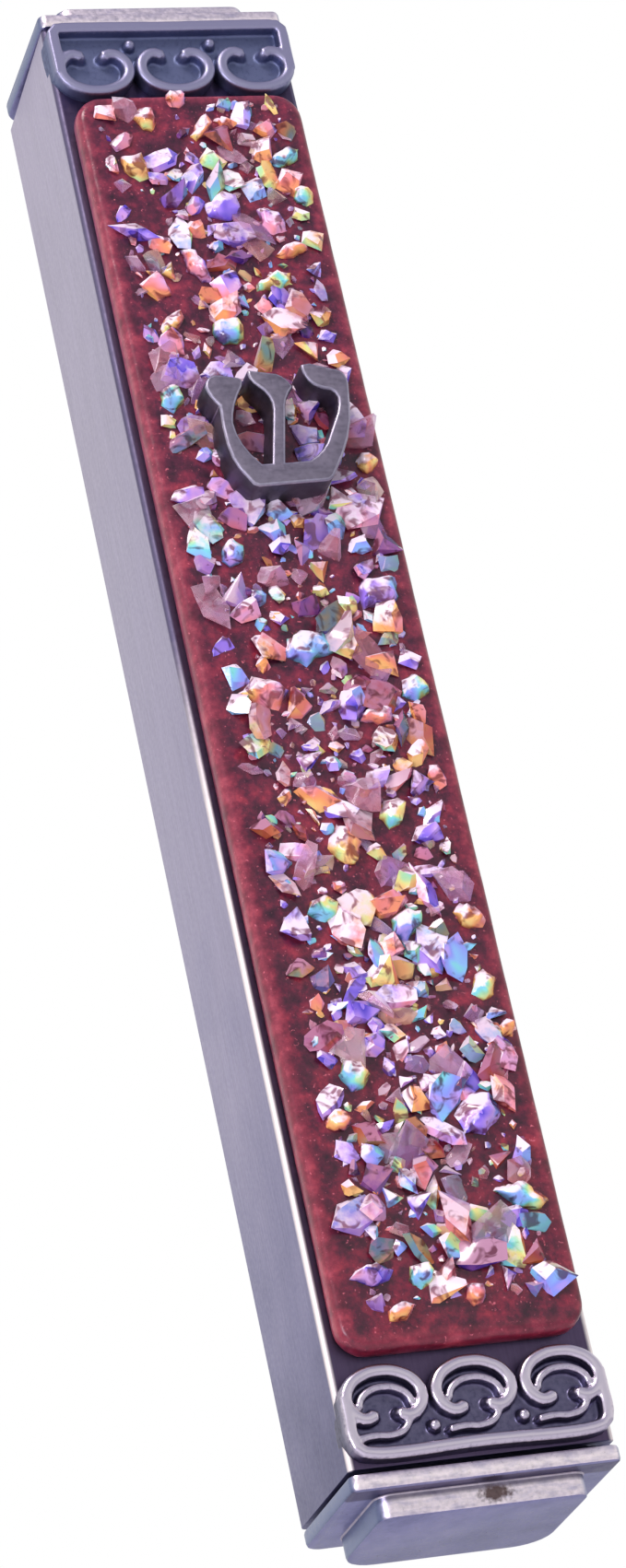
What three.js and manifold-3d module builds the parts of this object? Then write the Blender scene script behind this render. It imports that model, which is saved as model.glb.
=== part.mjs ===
// A mezuzah case that hangs upright on a doorpost: a rectangular metal tube with a stepped cap
// plugged into each end, a cast scroll ornament at each end of the front, and between them a slab of
// resin that carries opal flakes and the letter shin. The rolled parchment stands in the tube on the
// lower plug, so it comes down with the lower cap.
// Millimetres. X runs across the front, Y runs back to the wall and Z is up. The origin is the middle
// of the mounting tape's outer face, so the whole case lies at negative Y.
import * as THREE from 'three';
import { mergeVertices } from 'three/addons/utils/BufferGeometryUtils.js';
import Module from 'manifold-3d';

const wasm = await Module();
wasm.setup();

// Driving dimensions
const tape = { width: 12, length: 96, thickness: 1, radius: 1 };
const shell = {
  width: 19.7, depth: 13.1, length: 119, wall: 1, frontRadius: 0.4, backRadius: 0.6, innerRadius: 0.3,
  upperEndDrop: 1, // the upper end is cut a little out of square, so it is lower at the back
};
const cap = {
  width: 20, depth: 13.5, lowerGap: 0.4, upperGap: 0, plate: 1.2, step: 1.7, radius: 0.7, backRadius: 1.4,
  bevel: 0.25,
  inset: 2.2, frontInset: 1.7, stepRadius: 1.2, stepBackRadius: 2.6,
  backInset: 0.4, // the step comes close to the plate's back edge
};
const plug = {
  length: 6, clearance: 0.3, radius: 0.8, bevel: 0.3, bossWidth: 8, bossDepth: 4, bossHeight: 2,
};
const ornament = {
  endInset: 0.3, height: 1.4, dotHeight: 1.3, floor: 0.5, border: 1.1, corner: 0.8,
  scrollToEdge: 4.4, // from the scrolls' middle line to the outer edge of the border
  scrollWidth: 6.4, scrollBand: 0.9, floorReach: 2.1, sideOverlap: 0.05,
  dotRadius: 0.55, dotFromBorder: 1.05,
};
const slab = { width: 18.4, length: 103.6, thickness: 2.2, radius: 2.2, bevel: 0.55 };
const letter = { x: 0.85, z: 20.2, thickness: 3, bevel: 0.12 };
const scroll = { length: 104, outer: 4, inner: 1.5, sheet: 0.25, pitch: 0.6, stepsPerTurn: 20 };
const wrap = { inner: 4.3, wall: 0.25, overlap: 1, sides: 24 };

// Planes and places that follow from them
const shellBackY = -tape.thickness;
const shellFrontY = shellBackY - shell.depth;
const slabFrontY = shellFrontY - slab.thickness;
const lowerCapZ = -shell.length / 2 - cap.lowerGap;
const upperCapZ = shell.length / 2 + cap.upperGap;
const scrollX = -(shell.width / 2 - shell.wall) + wrap.inner + wrap.wall + plug.clearance;
const shellCentreY = shellBackY - shell.depth / 2;

// Metals, resin, opal, parchment, film, plastic and foam
function finish(color, roughness, metalness) {
  return new THREE.MeshStandardMaterial({ color, roughness, metalness });
}

const brushedShell = finish('#a9a4bf', 0.38, 1);
const capMetal = finish('#a7a0b6', 0.36, 1);
const antiqueCasting = finish('#6f6c82', 0.42, 1);
const letterMetal = finish('#6c6776', 0.5, 1);
const burgundyResin = finish('#5e2338', 0.35, 0);
const plugPlastic = finish('#1b1b20', 0.6, 0);
const parchmentSkin = finish('#e6d8b8', 0.8, 0);
const clearFilm = finish('#dfe6ea', 0.15, 0);
const foam = finish('#e9e9e6', 0.9, 0);
const opalTones = {
  salmon: '#f0a296', gold: '#f0c878', amber: '#e99a3c', cream: '#e8dcae', aqua: '#86d3e6', lime: '#b9e07a',
  violet: '#8f78e0', pearl: '#f1d6e0', coral: '#f08a62', sky: '#7fa8f0', lilac: '#c3a8e6', mint: '#96e6c8',
  teal: '#3fbccb', ultramarine: '#4a3fd0', pink: '#f0a6c6',
};

// --- Shape helpers ---

// A rectangle centred on the origin, with one radius on its -Y corners and another on its +Y ones.
function roundedRectangle(width, depth, frontRadius, backRadius = frontRadius, Kind = THREE.Shape) {
  const x = width / 2;
  const y = depth / 2;
  const path = new Kind();
  path.moveTo(-x + frontRadius, -y);
  path.lineTo(x - frontRadius, -y);
  path.absarc(x - frontRadius, -y + frontRadius, frontRadius, -Math.PI / 2, 0, false);
  path.lineTo(x, y - backRadius);
  path.absarc(x - backRadius, y - backRadius, backRadius, 0, Math.PI / 2, false);
  path.lineTo(-x + backRadius, y);
  path.absarc(-x + backRadius, y - backRadius, backRadius, Math.PI / 2, Math.PI, false);
  path.lineTo(-x, -y + frontRadius);
  path.absarc(-x + frontRadius, -y + frontRadius, frontRadius, Math.PI, Math.PI * 1.5, false);
  return path;
}

// A prism on the XY outline, from z = 0 up. The bevel stays inside the outline.
function prism(outline, height, bevel = 0, curveSegments = 4, bevelSegments = 2) {
  const geometry = new THREE.ExtrudeGeometry(outline, {
    depth: height - 2 * bevel, bevelEnabled: bevel > 0, bevelThickness: bevel, bevelSize: bevel,
    bevelOffset: -bevel, bevelSegments, curveSegments,
  });
  return geometry.translate(0, 0, bevel);
}

// The same prism laid on the front: its outline is in X and Z and it rises towards -Y.
function relief(outline, height, bevel, curveSegments, bevelSegments) {
  return prism(outline, height, bevel, curveSegments, bevelSegments).rotateX(Math.PI / 2);
}

function merged(geometry) {
  const bare = geometry.index ? geometry.toNonIndexed() : geometry.clone();
  bare.deleteAttribute('normal');
  bare.deleteAttribute('uv');
  return mergeVertices(bare, 1e-4);
}

function solidFrom(geometry) {
  const bare = merged(geometry);
  return new wasm.Manifold(new wasm.Mesh({
    numProp: 3,
    vertProperties: new Float32Array(bare.attributes.position.array),
    triVerts: new Uint32Array(bare.index.array),
  }));
}

function geometryFrom(solid) {
  const mesh = solid.getMesh();
  const geometry = new THREE.BufferGeometry();
  geometry.setAttribute('position', new THREE.BufferAttribute(new Float32Array(mesh.vertProperties), 3));
  geometry.setIndex(new THREE.BufferAttribute(new Uint32Array(mesh.triVerts), 1));
  geometry.computeVertexNormals();
  return geometry;
}

const joined = (geometries) => geometryFrom(geometries.map(solidFrom).reduce((sum, next) => sum.add(next)));

const mezuzahCase = new THREE.Group();

function addPart(name, geometry, material, x = 0, y = 0, z = 0) {
  const mesh = new THREE.Mesh(geometry, material);
  mesh.name = name;
  mesh.position.set(x, y, z);
  mezuzahCase.add(mesh);
}

// --- The tube ---

function shellGeometry() {
  const outline = roundedRectangle(shell.width, shell.depth, shell.frontRadius, shell.backRadius);
  const bore = { width: shell.width - 2 * shell.wall, depth: shell.depth - 2 * shell.wall };
  outline.holes.push(
    roundedRectangle(bore.width, bore.depth, shell.innerRadius, shell.innerRadius, THREE.Path));
  const geometry = prism(outline, shell.length).translate(0, 0, -shell.length / 2);
  const position = geometry.attributes.position;
  for (let i = 0; i < position.count; i++) {
    const isUpperEnd = position.getZ(i) > 0;
    const fractionBack = position.getY(i) / shell.depth + 0.5;
    if (isUpperEnd) position.setZ(i, shell.length / 2 - shell.upperEndDrop * fractionBack);
  }
  return geometry;
}

// --- End caps and their friction plugs. Each is made as the lower one, stepping down towards -Z. ---

function capGeometry() {
  const plateOutline = roundedRectangle(cap.width, cap.depth, cap.radius, cap.backRadius);
  const plate = prism(plateOutline, cap.plate, cap.bevel, 3);
  const stepWidth = cap.width - 2 * cap.inset;
  const stepDepth = cap.depth - cap.frontInset - cap.backInset;
  const stepOutline = roundedRectangle(stepWidth, stepDepth, cap.stepRadius, cap.stepBackRadius);
  const sunk = 0.5; // how far the step reaches into the plate, past its bevel
  const step = prism(stepOutline, cap.step + sunk, cap.bevel, 3);
  const boss = new THREE.BoxGeometry(plug.bossWidth, plug.bossDepth, plug.bossHeight + sunk);
  return joined([
    plate.translate(0, 0, -cap.plate),
    step.translate(0, (cap.frontInset - cap.backInset) / 2, -cap.plate - cap.step),
    boss.translate(0, 0, (plug.bossHeight - sunk) / 2),
  ]);
}

function plugGeometry() {
  const width = shell.width - 2 * (shell.wall + plug.clearance);
  const depth = shell.depth - 2 * (shell.wall + plug.clearance);
  const block = prism(roundedRectangle(width, depth, plug.radius), plug.length, plug.bevel, 2, 1);
  const pocketDepth = plug.bossHeight + plug.clearance;
  const pocket = new THREE.BoxGeometry(
    plug.bossWidth + 2 * plug.clearance, plug.bossDepth + 2 * plug.clearance, 2 * pocketDepth);
  return geometryFrom(solidFrom(block).subtract(solidFrom(pocket)));
}

// --- Scroll ornaments ---

const toPoints = (pairs) => pairs.map(([u, v]) => new THREE.Vector2(u, v));

// One C scroll as a flat band, open towards v > 0, with both ends hooked inwards and a knob on each.
function scrollOutline() {
  const halfPath = [
    [0, -1.85], [1.35, -1.6], [2.45, -0.8], [2.75, 0.35], [2.2, 1.4], [1.3, 1.5], [0.85, 0.85],
  ];
  const mirrored = halfPath.slice(1).reverse().map(([u, v]) => [-u, v]);
  const centreLine = new THREE.SplineCurve(toPoints([...mirrored, ...halfPath]));
  const steps = 26;
  const left = [];
  const right = [];
  for (let i = 0; i <= steps; i++) {
    const point = centreLine.getPointAt(i / steps);
    const along = centreLine.getTangentAt(i / steps);
    const half = ornament.scrollBand / 2;
    left.push(new THREE.Vector2(point.x - along.y * half, point.y + along.x * half));
    right.unshift(new THREE.Vector2(point.x + along.y * half, point.y - along.x * half));
  }
  const tip = (end, inward) => {
    const along = centreLine.getTangentAt(end).multiplyScalar(inward * ornament.scrollBand * 0.45);
    return centreLine.getPointAt(end).add(along);
  };
  return [...left, tip(1, 1), ...right, tip(0, -1)];
}

const shapeOf = (points, x, side) => new THREE.Shape(
  points.map((point) => new THREE.Vector2(point.x + x, point.y * side)));

// side is 1 for the upper ornament and -1 for the lower one; v is measured from the scrolls' middle.
function ornamentGeometry(side) {
  const x = shell.width / 2;
  const outerV = ornament.scrollToEdge;
  const innerV = outerV - ornament.border;
  const innerX = x - ornament.border;
  const corner = ornament.corner;
  const scrollPitch = (shell.width - ornament.scrollWidth) / 2 - ornament.sideOverlap;
  const frame = [[-x, 0], [-x, outerV - corner], [-x + corner * 0.3, outerV - corner * 0.3],
    [-x + corner, outerV], [x - corner, outerV], [x - corner * 0.3, outerV - corner * 0.3],
    [x, outerV - corner], [x, 0], [innerX, 0], [innerX, innerV], [-innerX, innerV], [-innerX, 0]];
  const floorPlate = frame.slice(0, 8);
  const floorHalfWidth = (ornament.scrollWidth - ornament.scrollBand) / 2;
  const pieces = [
    relief(shapeOf(toPoints(floorPlate), 0, side), ornament.floor),
    relief(shapeOf(toPoints(frame), 0, side), ornament.height),
  ];
  for (const turn of [-1, 0, 1]) {
    const disc = new THREE.Shape();
    disc.absellipse(turn * scrollPitch, 0, floorHalfWidth, ornament.floorReach, 0, Math.PI * 2);
    pieces.push(relief(disc, ornament.floor, 0, 10));
    pieces.push(relief(shapeOf(scrollOutline(), turn * scrollPitch, side), ornament.height));
  }
  for (const between of [-1, 1]) {
    const dot = new THREE.Shape();
    const v = side * (innerV - ornament.dotFromBorder);
    dot.absarc(between * scrollPitch / 2, v, ornament.dotRadius, 0, Math.PI * 2);
    pieces.push(relief(dot, ornament.dotHeight, 0, 5));
  }
  return joined(pieces);
}

// --- The letter: three arms with heads, on one base ---

function letterOutline() {
  const outline = new THREE.Shape();
  outline.moveTo(-5.7, 3.4);
  outline.quadraticCurveTo(-5.5, 4.5, -4.5, 4.4); // left head
  outline.lineTo(-3.0, 4.1);
  outline.quadraticCurveTo(-2.5, 4.0, -2.8, 3.3);
  outline.quadraticCurveTo(-3.9, 1.7, -4.1, 0.2);
  outline.quadraticCurveTo(-4.1, -1.7, -2.6, -3.4); // left counter
  outline.lineTo(-1.8, -3.4);
  outline.lineTo(-0.8, 1.2);
  outline.quadraticCurveTo(-0.6, 2.5, -1.6, 3.3); // middle head
  outline.quadraticCurveTo(-2.3, 3.9, -2.1, 4.7);
  outline.lineTo(0.1, 4.3);
  outline.quadraticCurveTo(0.8, 4.0, 1.2, 3.1);
  outline.quadraticCurveTo(0.3, 2.2, 0.15, 0.9);
  outline.lineTo(-0.75, -3.4);
  outline.lineTo(1.2, -3.3);
  outline.quadraticCurveTo(2.6, -2.6, 3.2, -1.2); // right counter
  outline.lineTo(4.2, 0.7);
  outline.quadraticCurveTo(4.9, 2.3, 4.1, 2.7);
  outline.quadraticCurveTo(2.9, 2.9, 2.5, 3.6); // right head
  outline.quadraticCurveTo(2.1, 4.3, 2.2, 5.0);
  outline.lineTo(2.9, 5.1);
  outline.lineTo(5.1, 4.4);
  outline.quadraticCurveTo(5.7, 4.1, 5.65, 3.2);
  outline.lineTo(5.4, 1.4);
  outline.quadraticCurveTo(5.1, -1.4, 2.9, -4.6); // right side
  outline.quadraticCurveTo(2.6, -5.1, 2.1, -5.1);
  outline.lineTo(-3.2, -5.3);
  outline.lineTo(-3.6, -5.1);
  outline.lineTo(-4.4, -3.8);
  outline.quadraticCurveTo(-5.3, -2.2, -4.9, 1.7); // left side
  outline.quadraticCurveTo(-5.5, 2.4, -5.7, 3.4);
  return outline;
}

// --- The parchment, rolled loosely, and the film around it ---

function parchmentGeometry() {
  const turns = (scroll.outer - scroll.inner - scroll.sheet) / scroll.pitch;
  const steps = Math.round(turns * scroll.stepsPerTurn);
  const inside = [];
  const outside = [];
  for (let i = 0; i <= steps; i++) {
    const angle = (i / scroll.stepsPerTurn) * Math.PI * 2;
    const radius = scroll.inner + scroll.pitch * (i / scroll.stepsPerTurn);
    const point = (r) => new THREE.Vector2(r * Math.cos(angle), r * Math.sin(angle));
    inside.push(point(radius));
    outside.unshift(point(radius + scroll.sheet));
  }
  return prism(new THREE.Shape([...inside, ...outside]), scroll.length);
}

function wrapGeometry() {
  const half = scroll.length / 2 - wrap.overlap;
  const outer = wrap.inner + wrap.wall;
  const corners = [[wrap.inner, -half], [outer, -half], [outer, half], [wrap.inner, half]];
  const lathe = new THREE.LatheGeometry(toPoints([...corners, corners[0]]), wrap.sides);
  return merged(lathe.rotateX(Math.PI / 2));
}

// --- Opal flakes ---

// The largest flakes: middle of each on the slab (x, z), its length, width and height, its turn in
// degrees from level, and its main colour.
const flakes = [
  [-1.0, 51.2, 1.9, 1.8, 0.7, 0, 'salmon'], [-3.9, 49.4, 2.4, 2.0, 0.9, 100, 'gold'],
  [0.5, 48.4, 3.2, 1.4, 0.8, 55, 'amber'], [-5.4, 45.0, 2.9, 2.3, 0.9, -60, 'cream'],
  [6.9, 45.6, 3.4, 1.6, 0.8, 15, 'aqua'], [7.6, 42.0, 2.0, 1.8, 0.7, 40, 'lime'],
  [0.9, 41.2, 3.3, 2.8, 0.9, 20, 'violet'], [4.5, 39.8, 3.1, 2.3, 0.8, -50, 'pearl'],
  [5.6, 37.0, 3.2, 1.3, 0.7, 12, 'coral'], [-2.4, 35.9, 4.2, 1.5, 0.9, -68, 'pearl'],
  [3.6, 34.2, 3.6, 1.8, 0.9, 20, 'lime'], [-5.2, 31.0, 2.8, 1.4, 0.8, 40, 'gold'],
  [-1.0, 30.0, 2.8, 2.6, 1.0, 0, 'mint'], [-6.6, 24.3, 2.6, 2.1, 0.9, 80, 'sky'],
  [7.6, 18.0, 2.0, 1.8, 0.7, 60, 'gold'], [-4.6, 10.8, 2.7, 2.2, 1.0, 70, 'sky'],
  [6.0, 7.0, 4.0, 3.2, 0.9, 35, 'lilac'], [-0.4, 2.7, 4.2, 3.2, 1.0, 15, 'sky'],
  [-4.4, -0.8, 4.2, 2.8, 0.9, -20, 'salmon'], [7.2, -1.2, 2.8, 2.2, 0.9, 10, 'aqua'],
  [3.8, -3.3, 3.2, 1.6, 0.8, 5, 'pink'], [3.3, -11.2, 3.0, 2.3, 0.9, 50, 'lime'],
  [-0.8, -13.6, 3.9, 2.6, 1.0, -75, 'amber'], [-3.6, -18.5, 2.8, 2.3, 0.9, 10, 'mint'],
  [7.3, -20.0, 2.9, 2.1, 0.8, -20, 'gold'], [2.4, -20.2, 3.2, 2.5, 1.0, 25, 'sky'],
  [7.2, -25.4, 2.8, 2.1, 0.9, 60, 'lime'], [8.1, -28.9, 1.9, 1.6, 0.8, 30, 'gold'],
  [-4.1, -31.5, 2.8, 2.4, 1.0, 45, 'teal'], [-6.0, -34.8, 2.0, 1.8, 0.8, 15, 'amber'],
  [4.4, -35.2, 4.4, 3.4, 1.0, 30, 'violet'], [6.3, -41.7, 4.4, 2.0, 1.0, -15, 'mint'],
  [-6.0, -46.4, 3.4, 1.7, 0.9, 8, 'ultramarine'], [-2.4, -46.8, 2.2, 2.0, 0.9, 30, 'aqua'],
  [-4.4, -49.3, 2.7, 1.4, 0.8, 15, 'amber'], [1.2, -48.6, 2.0, 1.7, 0.9, 50, 'coral'],
];

// A repeatable fraction between 0 and 1 for each whole number.
function fraction(n) {
  const value = Math.sin(n * 12.9898) * 43758.5453;
  return value - Math.floor(value);
}

// A chipped flake: an uneven outline on the slab, and a smaller, tilted one above it.
function flakeGeometry(number, length, width, height) {
  const sides = length < 1.15 * width ? 8 : 6;
  const rings = [[], []];
  for (let i = 0; i < sides; i++) {
    const chance = (k) => fraction(number * 31 + i * 7 + k);
    const angle = ((i + 0.5 * chance(1)) / sides) * Math.PI * 2;
    const reach = 0.86 + 0.14 * chance(2);
    const x = (length / 2) * reach * Math.cos(angle);
    const y = (width / 2) * reach * Math.sin(angle);
    const shrink = 0.55 + 0.25 * chance(3);
    const lift = height * (0.72 + 0.28 * chance(4));
    rings[0].push(x, y, 0);
    rings[1].push(x * shrink, y * shrink, lift);
  }
  const bottom = 2 * sides;
  const top = bottom + 1;
  const index = [];
  for (let i = 0; i < sides; i++) {
    const next = (i + 1) % sides;
    index.push(bottom, next, i);
    index.push(i, next, sides + i);
    index.push(next, sides + next, sides + i);
    index.push(top, sides + i, sides + next);
  }
  const geometry = new THREE.BufferGeometry();
  const points = [...rings[0], ...rings[1], 0, 0, 0, 0, 0, height];
  geometry.setAttribute('position', new THREE.Float32BufferAttribute(points, 3));
  geometry.setIndex(index);
  return geometry;
}

// --- Assembly ---

addPart('shell', shellGeometry(), brushedShell, 0, shellCentreY, 0);

const capCentreY = shellBackY - cap.depth / 2;
addPart('bottom_cap', capGeometry(), capMetal, 0, capCentreY, lowerCapZ);
addPart('top_cap', capGeometry().rotateY(Math.PI), capMetal, 0, capCentreY, upperCapZ);
addPart('bottom_plug', plugGeometry(), plugPlastic, 0, shellCentreY, lowerCapZ);
addPart('top_plug', plugGeometry().rotateX(Math.PI), plugPlastic, 0, shellCentreY, upperCapZ);

const ornamentMiddleZ = shell.length / 2 - ornament.endInset - ornament.scrollToEdge;
addPart('upper_ornament', ornamentGeometry(1), antiqueCasting, 0, shellFrontY, ornamentMiddleZ);
addPart('lower_ornament', ornamentGeometry(-1), antiqueCasting, 0, shellFrontY, -ornamentMiddleZ);

const slabOutline = roundedRectangle(slab.width, slab.length, slab.radius);
const slabGeometry = relief(slabOutline, slab.thickness, slab.bevel, 5, 2);
addPart('resin_inlay', slabGeometry, burgundyResin, 0, shellFrontY, 0);
addPart('shin_letter', relief(letterOutline(), letter.thickness, letter.bevel, 4, 1), letterMetal,
  letter.x, slabFrontY, letter.z);

const parchmentFootZ = lowerCapZ + plug.length;
addPart('parchment', parchmentGeometry(), parchmentSkin, scrollX, shellCentreY, parchmentFootZ);
addPart('scroll_wrap', wrapGeometry(), clearFilm, scrollX, shellCentreY, parchmentFootZ + scroll.length / 2);

const tapeOutline = roundedRectangle(tape.width, tape.length, tape.radius);
addPart('mounting_tape', relief(tapeOutline, tape.thickness), foam, 0, 0, 0);

flakes.forEach(([x, z, length, width, height, turn, tone], i) => {
  const number = String(i + 1).padStart(2, '0');
  const geometry = flakeGeometry(i + 1, length, width, height);
  geometry.rotateZ(THREE.MathUtils.degToRad(turn)).rotateX(Math.PI / 2);
  addPart(`flake_${number}_${tone}`, geometry, finish(opalTones[tone], 0.12, 0), x, slabFrontY, z);
});

export default mezuzahCase;
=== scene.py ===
# A mezuzah case hung upright: metal tube and caps, cast scroll ornaments, and a burgundy resin slab
# set with opal flakes and the letter shin.
import math
import bmesh
import bpy
from mathutils import Matrix, Vector, noise


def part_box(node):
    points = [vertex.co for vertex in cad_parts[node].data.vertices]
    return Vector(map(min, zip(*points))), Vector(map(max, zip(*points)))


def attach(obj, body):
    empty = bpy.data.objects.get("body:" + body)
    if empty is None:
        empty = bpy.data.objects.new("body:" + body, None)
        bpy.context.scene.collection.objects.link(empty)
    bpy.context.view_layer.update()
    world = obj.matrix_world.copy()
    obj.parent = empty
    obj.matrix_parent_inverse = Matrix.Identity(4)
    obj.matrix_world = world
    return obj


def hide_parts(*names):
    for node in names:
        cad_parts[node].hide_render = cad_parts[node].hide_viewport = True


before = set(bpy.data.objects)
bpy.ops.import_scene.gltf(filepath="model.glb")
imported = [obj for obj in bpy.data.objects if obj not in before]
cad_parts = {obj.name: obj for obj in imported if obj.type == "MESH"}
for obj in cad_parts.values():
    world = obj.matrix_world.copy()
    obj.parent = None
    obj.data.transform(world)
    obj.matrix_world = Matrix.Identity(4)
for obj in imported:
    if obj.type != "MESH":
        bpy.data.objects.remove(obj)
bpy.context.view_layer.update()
mm = 0.001


# small helpers

def linear(hexColour):
    channels = [int(hexColour[i:i + 2], 16) / 255 for i in (1, 3, 5)]
    return [c / 12.92 if c <= 0.04045 else ((c + 0.055) / 1.055) ** 2.4 for c in channels] + [1.0]


def addNode(tree, kind, inputs=None, stops=None, **settings):
    # inputs are keyed by socket name or number, and hold a value, a socket to link from, or a node to
    # link from by its first output; stops are a colour ramp's places, with hex colours or grey levels
    made = tree.nodes.new(kind)
    for name, value in settings.items():
        setattr(made, name, value)
    for key, value in (inputs or {}).items():
        if isinstance(value, bpy.types.Node):
            value = value.outputs[0]
        if isinstance(value, bpy.types.NodeSocket):
            tree.links.new(value, made.inputs[key])
        else:
            made.inputs[key].default_value = value
    for count, (place, colour) in enumerate(stops or []):
        elements = made.color_ramp.elements
        element = elements[count] if count < 2 else elements.new(place)
        element.position = place
        element.color = linear(colour) if isinstance(colour, str) else [colour] * 3 + [1]
    return made


def newMaterial(name):
    material = bpy.data.materials.new(name)
    material.use_nodes = True
    tree = material.node_tree
    tree.nodes.clear()
    return material, tree, addNode(tree, "ShaderNodeTexCoord").outputs["Object"]


def objectFrom(name, data, materials=()):
    made = bpy.data.objects.new(name, data)
    bpy.context.scene.collection.objects.link(made)
    if materials:
        data.materials.clear()
    for material in materials:
        data.materials.append(material)
    return made


def mergedCopy(node, flat=None):
    # a CAD node's loose triangles joined up, and faces that are flat to within some degrees made one
    merged = bmesh.new()
    merged.from_mesh(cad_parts[node].data)
    bmesh.ops.remove_doubles(merged, verts=merged.verts, dist=0.002 * mm)
    if flat:
        bmesh.ops.dissolve_limit(merged, angle_limit=math.radians(flat), verts=merged.verts,
                                 edges=merged.edges)
    return merged


def meshFrom(name, shape):
    mesh = bpy.data.meshes.new(name)
    shape.to_mesh(mesh)
    shape.free()
    return mesh


def finishPiece(piece, body, slot, *nodes):
    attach(piece, body)
    if nodes:
        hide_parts(*nodes)


def bakedMesh(piece):
    bpy.context.view_layer.update()
    evaluated = piece.evaluated_get(bpy.context.evaluated_depsgraph_get())
    mesh = bpy.data.meshes.new_from_object(evaluated)
    piece.modifiers.clear()
    return mesh


def smoothByAngle(mesh, degrees):
    mesh.shade_smooth()
    mesh.set_sharp_from_angle(angle=math.radians(degrees))


def newTree(name, sizes, others):
    # a Geometry Nodes tree with its inputs: the geometry, the named sizes and the others by kind
    tree = bpy.data.node_groups.new(name, "GeometryNodeTree")
    for label, kind in [("Geometry", "Geometry")] + [(size, "Float") for size in sizes] + others:
        tree.interface.new_socket(label, in_out="INPUT", socket_type="NodeSocket" + kind)
    tree.interface.new_socket("Geometry", in_out="OUTPUT", socket_type="NodeSocketGeometry")
    return tree, addNode(tree, "NodeGroupInput").outputs


def treeMesh(holder, tree, values):
    # runs the tree on the holder and returns the plain mesh it makes; the holder is then deleted
    modifier = holder.modifiers.new(tree.name, "NODES")
    modifier.node_group = tree
    for item in tree.interface.items_tree:
        if item.in_out == "INPUT" and item.name in values:
            modifier[item.identifier] = values[item.name]
    mesh = bakedMesh(holder)
    bpy.data.objects.remove(holder)
    return mesh


# metals

# millimetres from the tube's edges, and heights over which the painted highlight on the front edges turns
# into painted shade higher up
tubeEdgeLight = {"sideFrom": 0.45, "sideTo": 0.2, "frontFrom": 0.5, "frontTo": 0.25, "ragged": 30, "none": 22,
            "full": 2}
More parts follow.
